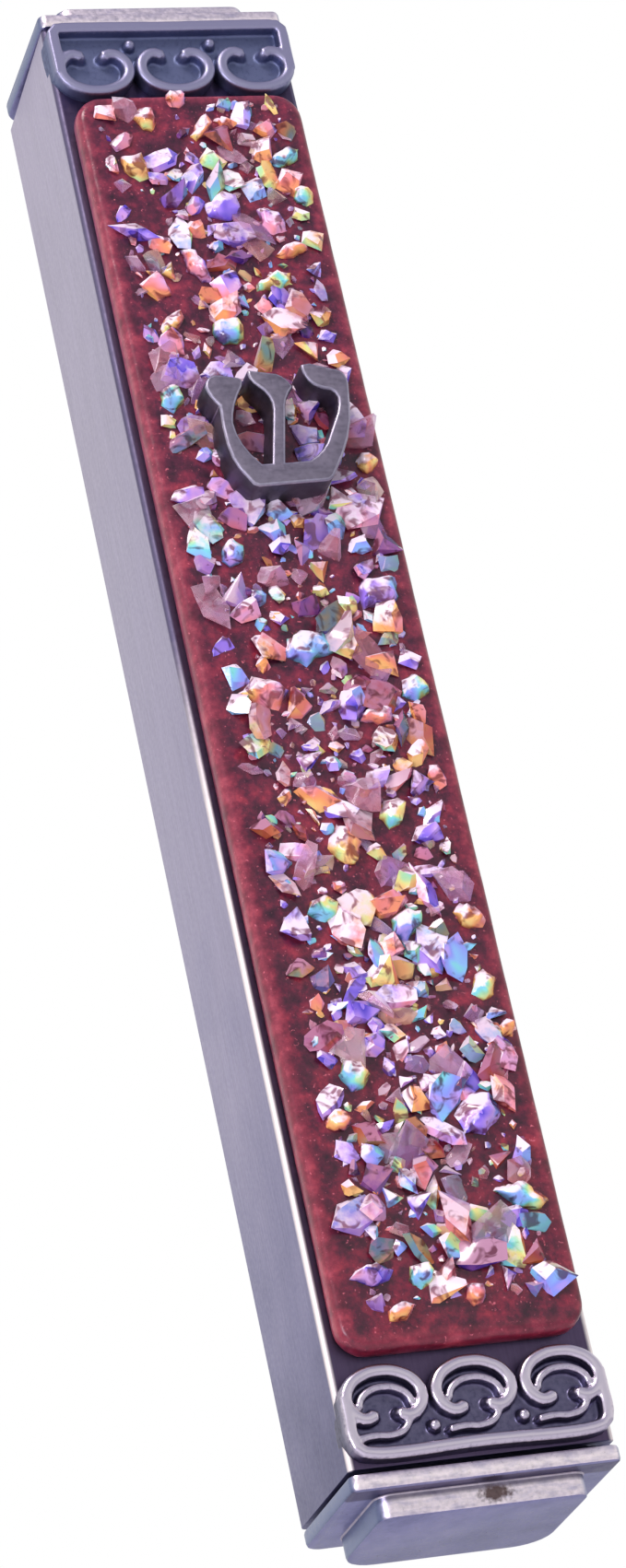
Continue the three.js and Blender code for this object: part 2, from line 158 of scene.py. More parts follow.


# Drawn zinc tube with antique gunmetal plating: satin and lilac-grey with a faint grain along its length,
# painted shade making it bluer and darker towards the lower end and darker on the front, and a painted
# highlight on the lower front edges that turns to painted shade higher up.
def brushedGunmetal():
    shellLow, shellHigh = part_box("shell")
    material, tree, coordinates = newMaterial("brushedGunmetal")
    grainSpace = addNode(tree, "ShaderNodeMapping", {"Vector": coordinates, "Scale": (1, 1, 0.03)})
    grain = addNode(tree, "ShaderNodeTexNoise",
                    {"Vector": grainSpace, "Scale": 1 / (0.22 * mm), "Detail": 3.0})
    cloud = addNode(tree, "ShaderNodeTexNoise",
                    {"Vector": coordinates, "Scale": 1 / (9 * mm), "Detail": 4.0, "Roughness": 0.6})
    speck = addNode(tree, "ShaderNodeTexNoise",
                    {"Vector": coordinates, "Scale": 1 / (0.35 * mm), "Detail": 2.0})
    spread = addNode(tree, "ShaderNodeMapRange",
                     {"Value": cloud, "From Min": 0.3, "From Max": 0.7, "To Min": -0.07, "To Max": 0.07})
    place = addNode(tree, "ShaderNodeSeparateXYZ", {"Vector": coordinates})
    # painted shade: the tube is painted darker and bluer towards its lower end
    height = addNode(tree, "ShaderNodeMapRange",
                     {"Value": place.outputs["Z"], "From Min": -shellHigh.z, "From Max": shellHigh.z})
    level = addNode(tree, "ShaderNodeMath", {0: height, 1: spread}, operation="ADD")
    tone = addNode(tree, "ShaderNodeValToRGB", {"Fac": level},
                   [(0.0, "#73718f"), (0.13, "#8d89a8"), (0.33, "#a59eb8"), (0.75, "#aca4ba"),
                    (1.0, "#b8afc6")])
    # painted shade: faces turned to the front are painted darker
    facing = addNode(tree, "ShaderNodeNewGeometry").outputs["Normal"]
    turned = addNode(tree, "ShaderNodeSeparateXYZ", {"Vector": facing})
    front = addNode(tree, "ShaderNodeMapRange",
                    {"Value": turned.outputs["Y"], "From Min": -0.8, "From Max": -0.98})
    dark = addNode(tree, "ShaderNodeMix", {0: front, 6: tone, 7: linear("#5a4d66")}, data_type="RGBA")
    fine = addNode(tree, "ShaderNodeValToRGB", {"Fac": grain}, [(0.3, 0.86), (0.7, 1.0)])
    # painted highlight on the front edges low down, fading into painted shade on them higher up
    aside = addNode(tree, "ShaderNodeMath", {0: place.outputs["X"]}, operation="ABSOLUTE")
    nearSide = addNode(tree, "ShaderNodeMapRange",
                       {"Value": aside, "From Min": shellHigh.x - tubeEdgeLight["sideFrom"] * mm,
                        "From Max": shellHigh.x - tubeEdgeLight["sideTo"] * mm})
    nearFront = addNode(tree, "ShaderNodeMapRange",
                        {"Value": place.outputs["Y"], "From Min": shellLow.y + tubeEdgeLight["frontFrom"] * mm,
                         "From Max": shellLow.y + tubeEdgeLight["frontTo"] * mm})
    ragged = addNode(tree, "ShaderNodeMath",
                     {0: cloud, 1: tubeEdgeLight["ragged"] * mm, 2: place.outputs["Z"]}, operation="MULTIPLY_ADD")
    lower = addNode(tree, "ShaderNodeMapRange",
                    {"Value": ragged, "From Min": tubeEdgeLight["none"] * mm, "From Max": tubeEdgeLight["full"] * mm})
    corner = addNode(tree, "ShaderNodeMath", {0: nearSide, 1: nearFront}, operation="MULTIPLY")
    edgeHighlightAndShade = addNode(tree, "ShaderNodeMix",
                       {0: lower, 6: linear("#6c6680"), 7: linear("#f7eeea")}, data_type="RGBA")
    edgeLit = addNode(tree, "ShaderNodeMix",
                   {0: corner, 6: dark.outputs[2], 7: edgeHighlightAndShade.outputs[2]}, data_type="RGBA")
    colour = addNode(tree, "ShaderNodeMix", {0: 1.0, 6: edgeLit.outputs[2], 7: fine},
                     data_type="RGBA", blend_type="MULTIPLY")
    rough = addNode(tree, "ShaderNodeMapRange",
                    {"Value": speck, "From Min": 0.3, "From Max": 0.7, "To Min": 0.34, "To Max": 0.46})
    bump = addNode(tree, "ShaderNodeBump", {"Height": grain, "Strength": 0.12, "Distance": 0.02 * mm})
    matt = addNode(tree, "ShaderNodeMath", {0: corner, 1: 0.22, 2: rough}, operation="MULTIPLY_ADD")
    shader = addNode(tree, "ShaderNodeBsdfPrincipled",
                     {"Base Color": colour.outputs[2], "Roughness": matt,
                      "Normal": bump, "Metallic": 1.0})
    addNode(tree, "ShaderNodeOutputMaterial", {"Surface": shader})
    return material


# The same plating on a cast piece: a little grainy, and paler on faces turned to the front, partly from
# rubbing by hands and partly as painted highlight. Only a rubbed piece has a spot, which is where its middle
# is.
def castGunmetal(name, dark, middle, pale, roughness, frontWearAndHighlight=None, spot=None, paintedShade=()):
    material, tree, coordinates = newMaterial(name)
    cloud = addNode(tree, "ShaderNodeTexNoise",
                    {"Vector": coordinates, "Scale": 1 / (3.2 * mm), "Detail": 5.0, "Roughness": 0.65})
    speck = addNode(tree, "ShaderNodeTexNoise",
                    {"Vector": coordinates, "Scale": 1 / (0.3 * mm), "Detail": 3.0})
    tone = addNode(tree, "ShaderNodeValToRGB", {"Fac": cloud},
                   [(0.3, dark), (0.52, middle), (0.72, pale)])
    # faces turned to the front are made paler: rubbed wear in strokes, plus painted highlight
    if frontWearAndHighlight:
        facing = addNode(tree, "ShaderNodeNewGeometry").outputs["Normal"]
        front = addNode(tree, "ShaderNodeSeparateXYZ", {"Vector": facing})
        strokes = addNode(tree, "ShaderNodeMapping", {"Vector": coordinates, "Scale": (1, 1, 3)})
        uneven = addNode(tree, "ShaderNodeTexNoise",
                         {"Vector": strokes, "Scale": 1 / (1.3 * mm), "Detail": 3.0})
        turned = addNode(tree, "ShaderNodeMapRange",
                         {"Value": front.outputs["Y"], "From Min": -0.5, "From Max": -0.95, "To Max": 1.1})
        wear = addNode(tree, "ShaderNodeMapRange",
                       {"Value": uneven, "From Min": 0.25, "From Max": 0.6, "To Min": 0.45})
        amount = addNode(tree, "ShaderNodeMath",
                         {0: turned, 1: wear}, operation="MULTIPLY", use_clamp=True)
        tone = addNode(tree, "ShaderNodeMix", {0: amount, 6: tone, 7: linear(frontWearAndHighlight)},
                       data_type="RGBA").outputs[2]
    if paintedShade:  # painted shade in a corner, where every one of these spans overlaps
        place = addNode(tree, "ShaderNodeSeparateXYZ", {"Vector": coordinates})
        amount = 0.8
        for axis, start, full in paintedShade:
            span = addNode(tree, "ShaderNodeMapRange",
                           {"Value": place.outputs[axis], "From Min": start, "From Max": full})
            amount = addNode(tree, "ShaderNodeMath", {0: span, 1: amount}, operation="MULTIPLY")
        tone = addNode(tree, "ShaderNodeMix", {0: amount, 6: tone, 7: linear("#57506a")},
                       data_type="RGBA").outputs[2]
    if spot:  # painted shade makes the side faces bluer and darker, and the metal is worn through to brown at one spot
        aside = addNode(tree, "ShaderNodeMath", {0: front.outputs["X"]}, operation="ABSOLUTE")
        sideShade = addNode(tree, "ShaderNodeMapRange",
                           {"Value": aside, "From Min": 0.5, "From Max": 0.95, "To Max": 0.7})
        tone = addNode(tree, "ShaderNodeMix", {0: sideShade, 6: tone, 7: linear("#6a7896")},
                       data_type="RGBA").outputs[2]
        wide = addNode(tree, "ShaderNodeMapping", {"Vector": coordinates, "Scale": (0.5, 1, 1)})
        apart = addNode(tree, "ShaderNodeVectorMath", {0: wide, 1: spot}, operation="DISTANCE")
        ragged = addNode(tree, "ShaderNodeMath",
                         {0: speck, 1: 0.8 * mm, 2: apart.outputs["Value"]}, operation="MULTIPLY_ADD")
        near = addNode(tree, "ShaderNodeMapRange",
                       {"Value": ragged, "From Min": 1.15 * mm, "From Max": 0.75 * mm, "To Max": 0.95})
        tone = addNode(tree, "ShaderNodeMix", {0: near, 6: tone, 7: linear("#66524e")},
                       data_type="RGBA").outputs[2]
    fine = addNode(tree, "ShaderNodeValToRGB", {"Fac": speck}, [(0.3, 0.84), (0.65, 1.0)])
    colour = addNode(tree, "ShaderNodeMix", {0: 1.0, 6: tone, 7: fine},
                     data_type="RGBA", blend_type="MULTIPLY")
    rough = addNode(tree, "ShaderNodeMapRange",
                    {"Value": speck, "From Min": 0.3, "From Max": 0.7,
                     "To Min": roughness - 0.07, "To Max": roughness + 0.08})
    bump = addNode(tree, "ShaderNodeBump", {"Height": speck, "Strength": 0.18, "Distance": 0.03 * mm})
    shader = addNode(tree, "ShaderNodeBsdfPrincipled",
                     {"Base Color": colour.outputs[2], "Roughness": rough,
                      "Normal": bump, "Metallic": 1.0})
    addNode(tree, "ShaderNodeOutputMaterial", {"Surface": shader})
    return material


# Antiqued casting: slate patina left in the recess, rubbed back to lilac on the ridges.
def antiqueCasting(name, floorY, ridgeY, tones, satin):
    material, tree, coordinates = newMaterial(name)
    place = addNode(tree, "ShaderNodeSeparateXYZ", {"Vector": coordinates})
    speck = addNode(tree, "ShaderNodeTexNoise",
                    {"Vector": coordinates, "Scale": 1 / (0.35 * mm), "Detail": 4.0, "Roughness": 0.65})
    height = addNode(tree, "ShaderNodeMapRange",
                     {"Value": place.outputs["Y"], "From Min": floorY, "From Max": ridgeY, "To Max": 0.82})
    uneven = addNode(tree, "ShaderNodeMath", {0: speck, 1: 0.5, 2: height}, operation="MULTIPLY_ADD")
    colour = addNode(tree, "ShaderNodeValToRGB", {"Fac": uneven},
                     list(zip((0.18, 0.34, 0.78, 1.02), tones)))
    rough = addNode(tree, "ShaderNodeMapRange",
                    {"Value": uneven, "From Min": 0.2, "From Max": 1.0, "To Min": satin + 0.08,
                     "To Max": satin - 0.04})
    bump = addNode(tree, "ShaderNodeBump", {"Height": speck, "Strength": 0.2, "Distance": 0.04 * mm})
    shader = addNode(tree, "ShaderNodeBsdfPrincipled",
                     {"Base Color": colour, "Roughness": rough, "Normal": bump, "Metallic": 1.0})
    addNode(tree, "ShaderNodeOutputMaterial", {"Surface": shader})
    return material


# resin and opal

# Cast burgundy resin, sanded satin: dark and cloudy over its thickness, redder where light comes in at
# the rim, and warmer towards the lower end.
def burgundyResin(low, high):
    material, tree, coordinates = newMaterial("burgundyResin")
    middle = (low + high) / 2
    half = (high - low) / 2
    centred = addNode(tree, "ShaderNodeVectorMath", {0: coordinates, 1: middle}, operation="SUBTRACT")
    folded = addNode(tree, "ShaderNodeVectorMath", {0: centred}, operation="ABSOLUTE")
    place = addNode(tree, "ShaderNodeSeparateXYZ", {"Vector": folded})
    rims = [addNode(tree, "ShaderNodeMapRange",
                    {"Value": place.outputs[axis], "From Min": half[i] - 1.25 * mm,
                     "From Max": half[i] - 0.3 * mm})
            for axis, i in (("X", 0), ("Z", 2))]
    rim = addNode(tree, "ShaderNodeMath", {0: rims[0], 1: rims[1]}, operation="MAXIMUM")
    cloud = addNode(tree, "ShaderNodeTexNoise",
                    {"Vector": coordinates, "Scale": 1 / (1.6 * mm), "Detail": 6.0, "Roughness": 0.7})
    grit = addNode(tree, "ShaderNodeTexNoise",
                   {"Vector": coordinates, "Scale": 1 / (0.28 * mm), "Detail": 2.0})
    inner = addNode(tree, "ShaderNodeValToRGB", {"Fac": cloud},
                    [(0.34, "#2e0f22"), (0.47, "#521a32"), (0.58, "#7a243c"), (0.72, "#a83a4a")])
    outer = addNode(tree, "ShaderNodeValToRGB", {"Fac": cloud},
                    [(0.34, "#641a30"), (0.52, "#8c2f44"), (0.68, "#b0505e")])
    amount = addNode(tree, "ShaderNodeMath", {0: rim, 1: 0.85}, operation="MULTIPLY")
    body = addNode(tree, "ShaderNodeMix", {0: amount, 6: inner, 7: outer}, data_type="RGBA")
    level = addNode(tree, "ShaderNodeSeparateXYZ", {"Vector": coordinates})
    warm = addNode(tree, "ShaderNodeMapRange",
                   {"Value": level.outputs["Z"], "From Min": 25 * mm, "From Max": -45 * mm})
    warmed = addNode(tree, "ShaderNodeMix", {0: warm, 6: body.outputs[2], 7: linear("#f2cdd8")},
                     data_type="RGBA", blend_type="MULTIPLY")
    sparkle = addNode(tree, "ShaderNodeValToRGB", {"Fac": grit}, [(0.66, 0.0), (0.76, 1.0)])
    glitter = addNode(tree, "ShaderNodeMix",
                      {0: sparkle, 6: warmed.outputs[2], 7: linear("#c4606e")}, data_type="RGBA")
    bump = addNode(tree, "ShaderNodeBump", {"Height": grit, "Strength": 0.25, "Distance": 0.05 * mm})
    shader = addNode(tree, "ShaderNodeBsdfPrincipled",
                     {"Base Color": glitter.outputs[2], "Normal": bump,
                      "Roughness": 0.3, "IOR": 1.5, "Subsurface Weight": 0.15,
                      "Subsurface Scale": 0.6 * mm, "Subsurface Radius": (1.0, 0.25, 0.25)})
    addNode(tree, "ShaderNodeOutputMaterial", {"Surface": shader})
    return material


opalHues = [(0.0, "#5341ca"), (0.08, "#997aeb"), (0.17, "#caa6f1"), (0.26, "#8c9bf3"), (0.35, "#89c6f6"),
            (0.41, "#7de0de"), (0.46, "#a8e6ac"), (0.51, "#e3ed91"), (0.57, "#fcd681"), (0.65, "#f7ab64"),
            (0.73, "#ee8673"), (0.81, "#f59eb1"), (0.9, "#e0abde"), (1.0, "#9d80ee")]
flakeTones = {"ultramarine": 0.1, "violet": 0.17, "lilac": 0.27, "sky": 0.42, "aqua": 0.48, "teal": 0.5,
              "mint": 0.54, "lime": 0.6, "cream": 0.67, "gold": 0.7, "amber": 0.74, "coral": 0.83,
              "salmon": 0.87, "pink": 0.93, "pearl": 1.0}  # a face square to the front loses 0.09 of this
flashes = {"drift": 2.2, "swing": 0.13, "feather": 1.0, "window": 1.2, "lean": (0.1, 0.09, 0.1),
           "paintedSheen": 0.92, "sheenSide": (-0.4, -0.66, 0.64), "sheenFrom": 0.88, "sheenTo": 1.08,
           "shadow": 0.85, "clearFrom": 0.62, "clearTo": 0.84, "through": 0.64}


# Crushed lab opal: each broken face flashes its own hue, with a painted highlight that turns faces looking
# one way milky pale in feathers, burgundy windows where the resin shows through, and some chips are clear
# glass with pale outlines that are painted reflection.
def opal(name, tone=None):
    material, tree, coordinates = newMaterial(name)
    drift = addNode(tree, "ShaderNodeTexNoise",
                    {"Vector": coordinates, "Scale": 1 / (flashes["drift"] * mm),
                     "Detail": 1.0, "Distortion": 0.5})
    feather = addNode(tree, "ShaderNodeTexNoise",
                      {"Vector": coordinates, "Scale": 1 / (flashes["feather"] * mm),
                       "Detail": 3.0, "Roughness": 0.6})
    depth = addNode(tree, "ShaderNodeTexNoise",
                    {"Vector": coordinates, "Scale": 1 / (flashes["window"] * mm),
                     "Detail": 2.0, "Distortion": 1.0})
    face = addNode(tree, "ShaderNodeNewGeometry").outputs["Normal"]
    lean = addNode(tree, "ShaderNodeVectorMath", {0: face, 1: flashes["lean"]}, operation="DOT_PRODUCT")
    swing = addNode(tree, "ShaderNodeMapRange",
                    {"Value": drift, "From Min": 0.25, "From Max": 0.75,
                     "To Min": -flashes["swing"], "To Max": flashes["swing"]})
    start = tone
    clear = 0.3
    if tone is None:  # scattered chips carry their own tone and clearness
        start = addNode(tree, "ShaderNodeAttribute", attribute_name="tone").outputs["Fac"]
        clear = addNode(tree, "ShaderNodeAttribute", attribute_name="clear").outputs["Fac"]
    place = addNode(tree, "ShaderNodeMath", {0: swing, 1: start}, operation="ADD")
    turned = addNode(tree, "ShaderNodeMath", {0: place, 1: lean.outputs["Value"]}, operation="ADD")
    around = addNode(tree, "ShaderNodeMath", {0: turned}, operation="FRACT")
    hue = addNode(tree, "ShaderNodeValToRGB", {"Fac": around}, opalHues)
    # painted highlight: faces turned towards one side are painted milky pale, broken up by the feather noise
    towardSheenSide = addNode(tree, "ShaderNodeVectorMath", {0: face, 1: flashes["sheenSide"]}, operation="DOT_PRODUCT")
    soft = addNode(tree, "ShaderNodeMath",
                   {0: feather, 1: 0.6, 2: towardSheenSide.outputs["Value"]}, operation="MULTIPLY_ADD")
    paintedSheen = addNode(tree, "ShaderNodeMapRange",
                   {"Value": soft, "From Min": flashes["sheenFrom"], "From Max": flashes["sheenTo"],
                    "To Max": flashes["paintedSheen"]})
    sheened = addNode(tree, "ShaderNodeMix", {0: paintedSheen, 6: hue, 7: linear("#fbeef8")}, data_type="RGBA")
    shade = addNode(tree, "ShaderNodeValToRGB", {"Fac": depth}, [(0.36, "#7c2a46"), (0.48, "#fff8fa")])
    deep = addNode(tree, "ShaderNodeMix", {0: flashes["shadow"], 6: sheened.outputs[2], 7: shade},
                   data_type="RGBA", blend_type="MULTIPLY")
    if tone is None:  # a few chips are deep and smoky
        smoke = addNode(tree, "ShaderNodeValToRGB", {"Fac": clear}, [(0.06, "#b07c92"), (0.18, "#ffffff")])
        deep = addNode(tree, "ShaderNodeMix", {0: 1.0, 6: deep.outputs[2], 7: smoke},
                       data_type="RGBA", blend_type="MULTIPLY")
    glass = addNode(tree, "ShaderNodeMapRange",
                    {"Value": clear, "From Min": flashes["clearFrom"], "From Max": flashes["clearTo"]})
    # painted reflection: clear chips are painted paler towards their outlines
    rim = addNode(tree, "ShaderNodeLayerWeight", {"Blend": 0.5}).outputs["Facing"]
    outline = addNode(tree, "ShaderNodeMapRange", {"Value": rim, "From Min": 0.35, "From Max": 0.8})
    outlineReflectionTint = addNode(tree, "ShaderNodeMix",
                   {0: outline, 6: linear("#d08eac"), 7: linear("#fceaf2")}, data_type="RGBA")
    mixed = addNode(tree, "ShaderNodeMath", {0: glass, 1: 0.6}, operation="MULTIPLY")
    colour = addNode(tree, "ShaderNodeMix",
                     {0: mixed, 6: deep.outputs[2], 7: outlineReflectionTint.outputs[2]}, data_type="RGBA")
    hole = addNode(tree, "ShaderNodeMapRange",
                   {"Value": outline, "To Min": flashes["through"], "To Max": 0.1})
    gap = addNode(tree, "ShaderNodeMath", {0: glass, 1: hole}, operation="MULTIPLY")
    alpha = addNode(tree, "ShaderNodeMath", {0: 1.0, 1: gap}, operation="SUBTRACT")
    shader = addNode(tree, "ShaderNodeBsdfPrincipled",
                     {"Base Color": colour.outputs[2], "Alpha": alpha, "Roughness": 0.14,
                      "IOR": 1.45, "Coat Weight": 0.35, "Coat Roughness": 0.05})
    addNode(tree, "ShaderNodeOutputMaterial", {"Surface": shader})
    return material


# plastic, parchment, film and foam

# Moulded ABS, matt black.
def mouldedPlastic():
    material, tree, coordinates = newMaterial("mouldedAbs")
    grain = addNode(tree, "ShaderNodeTexNoise",
                    {"Vector": coordinates, "Scale": 1 / (0.2 * mm), "Detail": 3.0})
    bump = addNode(tree, "ShaderNodeBump", {"Height": grain, "Strength": 0.3, "Distance": 0.03 * mm})
    colour = addNode(tree, "ShaderNodeValToRGB", {"Fac": grain}, [(0.3, "#141418"), (0.7, "#24242a")])
    shader = addNode(tree, "ShaderNodeBsdfPrincipled",
                     {"Base Color": colour, "Normal": bump, "Roughness": 0.55})
    addNode(tree, "ShaderNodeOutputMaterial", {"Surface": shader})
    return material


# Scraped hide: cream, with faint follicle specks and a soft tooth.
def scrapedParchment():
    material, tree, coordinates = newMaterial("scrapedParchment")
    cloud = addNode(tree, "ShaderNodeTexNoise",
                    {"Vector": coordinates, "Scale": 1 / (7 * mm), "Detail": 5.0, "Roughness": 0.6})
    pores = addNode(tree, "ShaderNodeTexVoronoi", {"Vector": coordinates, "Scale": 1 / (0.5 * mm)})
    base = addNode(tree, "ShaderNodeValToRGB", {"Fac": cloud},
                   [(0.3, "#d6c193"), (0.5, "#e6d7b2"), (0.7, "#f0e6cb")])
    specks = addNode(tree, "ShaderNodeValToRGB", {"Fac": pores}, [(0.05, 0.8), (0.22, 1.0)])
    colour = addNode(tree, "ShaderNodeMix", {0: 1.0, 6: base, 7: specks},
                     data_type="RGBA", blend_type="MULTIPLY")
    bump = addNode(tree, "ShaderNodeBump", {"Height": pores, "Strength": 0.2, "Distance": 0.03 * mm})
    shader = addNode(tree, "ShaderNodeBsdfPrincipled",
                     {"Base Color": colour.outputs[2], "Normal": bump, "Roughness": 0.75})
    addNode(tree, "ShaderNodeOutputMaterial", {"Surface": shader})
    return material


# Clear polypropylene film, glossy and slightly cool.
def clearFilm():
    material, tree, coordinates = newMaterial("clearFilm")
    ripple = addNode(tree, "ShaderNodeTexNoise",
                     {"Vector": coordinates, "Scale": 1 / (3 * mm), "Detail": 2.0})
    bump = addNode(tree, "ShaderNodeBump", {"Height": ripple, "Strength": 0.3, "Distance": 0.1 * mm})
    colour = addNode(tree, "ShaderNodeValToRGB", {"Fac": ripple}, [(0.3, "#dfe8ee"), (0.7, "#f4f8fa")])
    shader = addNode(tree, "ShaderNodeBsdfPrincipled",
                     {"Base Color": colour, "Normal": bump, "Roughness": 0.08, "Alpha": 0.28})
    addNode(tree, "ShaderNodeOutputMaterial", {"Surface": shader})
    return material


# Closed-cell polyethylene foam tape: white, with small cells that show at its edge.
def foamTape():
    material, tree, coordinates = newMaterial("foamTape")
    cells = addNode(tree, "ShaderNodeTexVoronoi", {"Vector": coordinates, "Scale": 1 / (0.35 * mm)})
    bump = addNode(tree, "ShaderNodeBump", {"Height": cells, "Strength": 0.5, "Distance": 0.08 * mm})
    colour = addNode(tree, "ShaderNodeValToRGB", {"Fac": cells}, [(0.1, "#cfcfca"), (0.5, "#ededea")])
    shader = addNode(tree, "ShaderNodeBsdfPrincipled",
                     {"Base Color": colour, "Normal": bump, "Roughness": 0.85})
    addNode(tree, "ShaderNodeOutputMaterial", {"Surface": shader})
    return material


# pieces that keep the CAD shape and get rounded edges: bevel width in millimetres, and the angle in
# degrees past which an edge gets one

edges = {"segments": 2, "crease": 32,
         "shell": (0.12, 50), "top_cap": (0.17, 50), "bottom_cap": (0.17, 50), "shin_letter": (0.09, 34),
         "mounting_tape": (0.12, 60), "top_plug": (0.12, 40), "bottom_plug": (0.12, 40)}


def refined(node, pieceName, materials):
    # a second material goes on the bevels, paler for edge wear and painted highlight
    width, angle = edges[node]
    piece = objectFrom(pieceName, meshFrom(pieceName, mergedCopy(node, 1)), materials)
    bevel = piece.modifiers.new("edge", "BEVEL")
    bevel.width = width * mm
    bevel.segments = edges["segments"]
    bevel.limit_method = "ANGLE"
    bevel.angle_limit = math.radians(angle)
    if len(materials) > 1:
        bevel.material = 1
    piece.data = bakedMesh(piece)
    smoothByAngle(piece.data, edges["crease"])
    return piece


# on the lower cap, in millimetres from its low front edge: the spans that bound the painted shade under the
# plate, in front of the step, and the middle of the spot worn through to brown
capShadeAndWear = {"shadeSpans": (("Z", 1.9, 1.75), ("Z", 1.1, 1.4), ("Y", 2.6, 2.3), ("Y", 0.25, 0.45)),
           "spot": (0.4, 1.7, 0.9)}
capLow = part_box("bottom_cap")[0]
capEdge = {"X": 0, "Y": capLow.y, "Z": capLow.z}
capShadeSpans = [(axis, capEdge[axis] + start * mm, capEdge[axis] + full * mm)
            for axis, start, full in capShadeAndWear["shadeSpans"]]
wornSpot = [start + way * mm for start, way in zip(capEdge.values(), capShadeAndWear["spot"])]

shellMetal = brushedGunmetal()
capMetal = castGunmetal("rubbedGunmetalPaintedLight", "#8585aa", "#9796bc", "#a7a3c4", 0.34, "#fff2f4", wornSpot,
                        capShadeSpans)
# paler metals for the bevels: partly edge wear, partly painted highlight along the edges
wornEdgeHighlight = castGunmetal("wornEdgeHighlightMetal", "#b5adb9", "#cfc6ce", "#e2d9dd", 0.42)
letterEdgeHighlight = castGunmetal("handledEdgeHighlightMetal", "#8f8a9c", "#a7a1b3", "#bdb6c4", 0.42)
letterMetal = castGunmetal("darkGunmetal", "#57525f", "#676170", "#767080", 0.5, "#8a8392")
plugPlastic = mouldedPlastic()

finishPiece(refined("shell", "shellTube", [shellMetal]), "case", "shell_metal", "shell")
finishPiece(refined("top_cap", "upperCap", [capMetal, letterEdgeHighlight]), "case", "cap_metal", "top_cap")
finishPiece(refined("bottom_cap", "lowerCap", [capMetal, wornEdgeHighlight]), "lower_cap", "cap_metal", "bottom_cap")
finishPiece(refined("shin_letter", "shinLetter", [letterMetal, letterEdgeHighlight]), "case", "letter_metal",
            "shin_letter")
finishPiece(refined("mounting_tape", "mountingTape", [foamTape()]), "case", "foam_tape", "mounting_tape")
finishPiece(refined("top_plug", "upperPlug", [plugPlastic]), "case", "plug_plastic", "top_plug")
finishPiece(refined("bottom_plug", "lowerPlug", [plugPlastic]), "lower_cap", "plug_plastic", "bottom_plug")
print("tube, caps, letter, tape and plugs done")


# scroll ornaments: ridges swept along their paths, on a floor of flat discs and a plate

casting = {"band": 0.92, "height": 1.4, "round": 0.32, "pitch": 6.6, "knob": 0.5, "steps": 44,
           "border": 0.9, "borderKnob": 0.3, "toEdge": 4.4, "side": 9.85,
           "bead": 0.54, "beadHeight": 1.3, "beadRound": 0.22,
           "dot": 0.5, "dotHeight": 1.3, "dotStretch": 1.3, "dotInset": 1.5,
           "floor": 0.35, "disc": (2.5, 1.75), "voxel": 0.1, "ease": 3}
innerArc = [(-1.95, 0.75), (-1.75, 0.15), (-1.2, -0.35), (0, -0.65), (1.2, -0.35), (1.75, 0.15), (1.95, 0.75)]
leafArc = [(-2.3, 2.9), (-1.2, 2.78), (0, 2.85), (1.0, 2.55), (1.5, 1.9)]
halfScroll = [(0, -1.85), (1.35, -1.6), (2.45, -0.8), (2.75, 0.3), (2.25, 1.25), (1.5, 1.55), (0.9, 1.3)]


def splineObject(name, paths):
    curve = bpy.data.curves.new(name, "CURVE")
    curve.dimensions = "3D"
    for path in paths:
        spline = curve.splines.new("BEZIER")
        spline.bezier_points.add(len(path) - 1)
        for point, (u, v) in zip(spline.bezier_points, path):
            point.co = (u * mm, v * mm, 0)
            point.handle_left_type = point.handle_right_type = "AUTO"
    return objectFrom(name, curve)


def ridgeTree():
    # a ridge of rounded-rectangle section along the given curves, with a knob at each end, in a row
    tree, given = newTree("castRidge", ["Width", "Height", "Rounding", "Knob Radius", "Pitch"],
                          [("Steps", "Int"), ("Count", "Int"), ("Metal", "Material")])
    path = addNode(tree, "GeometryNodeResampleCurve", {"Curve": given["Geometry"], "Count": given["Steps"]})
    level = addNode(tree, "GeometryNodeSetCurveNormal", {"Curve": path}, mode="Z_UP")
    tall = addNode(tree, "ShaderNodeMath", {0: given["Height"], 1: 2.0}, operation="MULTIPLY")
    outline = addNode(tree, "GeometryNodeCurvePrimitiveQuadrilateral",
                      {"Width": given["Width"], "Height": tall}, mode="RECTANGLE")
    eased = addNode(tree, "GeometryNodeFilletCurve",
                    {"Curve": outline, "Radius": given["Rounding"], "Count": 3}, mode="POLY")
    swept = addNode(tree, "GeometryNodeCurveToMesh",
                    {"Curve": level, "Profile Curve": eased, "Fill Caps": True})
    ends = addNode(tree, "GeometryNodeCurveEndpointSelection")
    ball = addNode(tree, "GeometryNodeMeshUVSphere",
                   {"Segments": 16, "Rings": 10, "Radius": given["Knob Radius"]})
    squash = addNode(tree, "ShaderNodeMath", {0: given["Height"], 1: given["Knob Radius"]},
                     operation="DIVIDE")
    stretch = addNode(tree, "ShaderNodeCombineXYZ", {"X": 1.0, "Y": 1.0, "Z": squash})
    knobs = addNode(tree, "GeometryNodeInstanceOnPoints",
                    {"Points": path, "Selection": ends, "Instance": ball, "Scale": stretch})
    scroll = addNode(tree, "GeometryNodeJoinGeometry")
    tree.links.new(swept.outputs[0], scroll.inputs[0])
    tree.links.new(knobs.outputs[0], scroll.inputs[0])
    spread = addNode(tree, "ShaderNodeCombineXYZ", {"X": given["Pitch"]})
    span = addNode(tree, "ShaderNodeMath", {0: given["Count"], 1: 1.0}, operation="SUBTRACT")
    back = addNode(tree, "ShaderNodeMath", {0: span, 1: -0.5}, operation="MULTIPLY")
    first = addNode(tree, "ShaderNodeVectorMath", {0: spread, 3: back}, operation="SCALE")
    places = addNode(tree, "GeometryNodeMeshLine",
                     {"Count": given["Count"], "Start Location": first, "Offset": spread}, mode="OFFSET")
    row = addNode(tree, "GeometryNodeInstanceOnPoints", {"Points": places, "Instance": scroll})
    real = addNode(tree, "GeometryNodeRealizeInstances", {0: row})
    metal = addNode(tree, "GeometryNodeSetMaterial", {"Geometry": real, "Material": given["Metal"]})
    addNode(tree, "NodeGroupOutput", {0: metal})
    return tree


